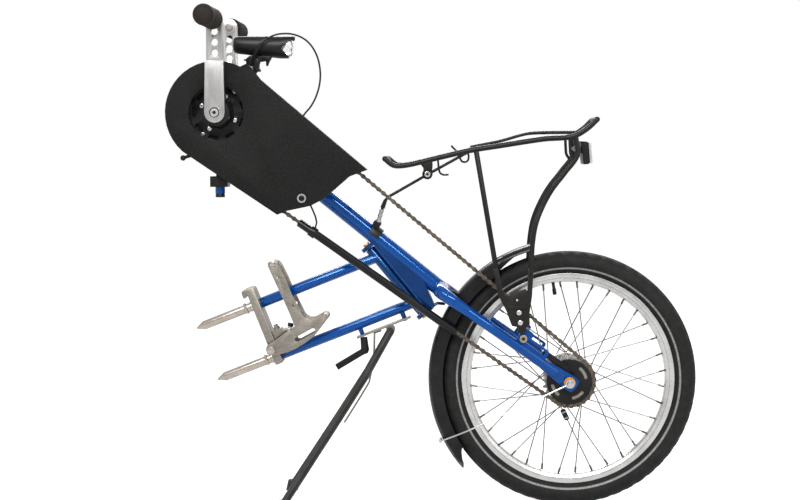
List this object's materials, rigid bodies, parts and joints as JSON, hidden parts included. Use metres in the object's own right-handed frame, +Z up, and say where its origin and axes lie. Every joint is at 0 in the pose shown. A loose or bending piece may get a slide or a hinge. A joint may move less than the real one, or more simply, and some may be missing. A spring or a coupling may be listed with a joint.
{
  "type": "handcycle",
  "caption": "Clip-on hand-cranked front wheel for a wheelchair: hand cranks, guarded chain drive, docking arms with a lever, rack, mudguard, headlight and stand.",
  "frame": {"origin": "on the floor, at the middle of the length and width of the whole object at rest", "axes": "+X forward towards the wheel, +Y to the left of the machine, away from the chain, +Z up"},
  "size_m": [1.027, 0.4372, 0.963],
  "materials": {
    "blue_paint": "gloss enamel",
    "navy_paint": "gloss enamel",
    "light_blue_paint": "gloss enamel",
    "guard_plastic": "fine moulded grain",
    "black_metal": "satin black coat",
    "aluminium": "brushed and polished",
    "steel": "bright",
    "chainring_steel": "satin",
    "grip_rubber": "fine ribs",
    "tyre": "block tread",
    "rim_aluminium": "polished",
    "orange_plastic": "satin",
    "bronze": "plated",
    "chain_steel": "oiled",
    "brass": "plated",
    "pin_steel": "polished",
    "warm_steel": "cut plate",
    "rack_metal": "powder coat",
    "black_plastic": "moulded",
    "tube_plastic": "smooth",
    "clear_plastic": "clear",
    "cable_rubber": "smooth",
    "leg_metal": "satin coat"
  },
  "bodies": {
    "frame": {"main_tube": "blue_paint", "fork_blade_near": "blue_paint", "fork_blade_far": "blue_paint", "steering_head": "navy_paint", "chain_guard": "guard_plastic", "guard_bracket": "black_metal", "guard_screw": "black_metal", "shell_block": "black_metal", "wheel_axle": "steel", "axle_washer_near": "orange_plastic", "axle_washer_far": "orange_plastic", "torque_arm": "black_metal", "slot_bolt_near": "bronze", "slot_bolt_far": "bronze", "chain": "chain_steel", "chain_guide_tube": "tube_plastic", "headlight_bracket": "black_plastic", "light_cable": "cable_rubber", "rack_platform": "rack_metal", "rack_leg_near": "rack_metal", "rack_leg_far": "rack_metal", "stay_clamp": "black_metal", "rack_stay": "rack_metal", "rear_reflector": "black_plastic", "mudguard": "guard_plastic", "mudguard_stay": "steel"},
    "crankset": {"crank_arm_near": "aluminium", "crank_arm_far": "aluminium", "crank_spindle": "steel", "chainring": "chainring_steel", "chainring_spider": "black_metal"},
    "near_grip": {"grip_near": "grip_rubber"},
    "far_grip": {"grip_far": "grip_rubber"},
    "wheel": {"tyre": "tyre", "rim": "rim_aluminium", "hub_and_spokes": "rim_aluminium", "valve": "black_metal"},
    "sprocket": {"hub_sprocket": "chainring_steel", "cover_disc": "black_metal"},
    "docking": {"steering_tube": "light_blue_paint", "steering_bolt_upper": "brass", "steering_bolt_lower": "brass", "upper_arm": "blue_paint", "lower_arm": "blue_paint", "docking_pin_upper": "pin_steel", "docking_pin_lower": "pin_steel", "latch_post": "warm_steel", "stop_bracket": "warm_steel", "lever_pivot_pin": "pin_steel", "stand_rail": "warm_steel", "stand_strap": "warm_steel"},
    "lever": {"lever_plate_near": "warm_steel", "lever_plate_far": "warm_steel", "lever_grip_bar": "pin_steel", "lever_tip_pin": "pin_steel"},
    "stand": {"stand_legs": "leg_metal"},
    "clamp": {"stand_clamp_lever": "black_plastic"},
    "lamp": {"headlight_body": "black_plastic", "headlight_lens": "clear_plastic"},
    "flap": {"rack_flap": "rack_metal"}
  },
  "joints": [
    {"name": "crank_spin", "type": "hinge", "parent": "frame", "child": "crankset", "pos_m": [-0.4145, 0, 0.768], "axis": [0, 1, 0], "continuous": true, "deforming": ["chain"]},
    {"name": "near_grip_spin", "type": "hinge", "parent": "crankset", "child": "near_grip", "pos_m": [-0.4145, -0.162, 0.943], "axis": [0, 1, 0], "continuous": true},
    {"name": "far_grip_spin", "type": "hinge", "parent": "crankset", "child": "far_grip", "pos_m": [-0.4145, 0.162, 0.943], "axis": [0, 1, 0], "continuous": true},
    {"name": "wheel_spin", "type": "hinge", "parent": "frame", "child": "wheel", "pos_m": [0.2635, 0, 0.25], "axis": [0, 1, 0], "continuous": true},
    {"name": "sprocket_spin", "type": "hinge", "parent": "frame", "child": "sprocket", "pos_m": [0.2635, -0.045, 0.25], "axis": [0, 1, 0], "continuous": true},
    {"name": "steering", "type": "hinge", "parent": "frame", "child": "docking", "pos_m": [-0.1405, 0, 0.52], "axis": [0.6368, 0, -0.7711], "range_deg": [-30, 30]},
    {"name": "docking_lever", "type": "hinge", "parent": "docking", "child": "lever", "pos_m": [-0.31855, 0, 0.30384], "axis": [0, 1, 0], "range_deg": [-22, 9]},
    {"name": "stand_fold", "type": "hinge", "parent": "docking", "child": "stand", "pos_m": [-0.0844, 0, 0.34187], "axis": [0, 1, 0], "range_deg": [0, 45]},
    {"name": "clamp_turn", "type": "hinge", "parent": "docking", "child": "clamp", "pos_m": [-0.13798, 0, 0.32775], "axis": [-0.37, 0, 0.929], "range_deg": [-60, 60]},
    {"name": "lamp_tilt", "type": "hinge", "parent": "frame", "child": "lamp", "pos_m": [-0.3485, 0, 0.868], "axis": [0, 1, 0], "range_deg": [-15, 15]},
    {"name": "flap_lift", "type": "hinge", "parent": "frame", "child": "flap", "pos_m": [0.0735, 0, 0.7029], "axis": [0, 1, 0], "range_deg": [-60, 0], "stiffness_Nm_per_rad": 0.8, "springref_deg": 22.92}
  ],
  "couplings": [
    {"joint": "sprocket_spin", "follows": "crank_spin", "ratio": 1.75}
  ]
}
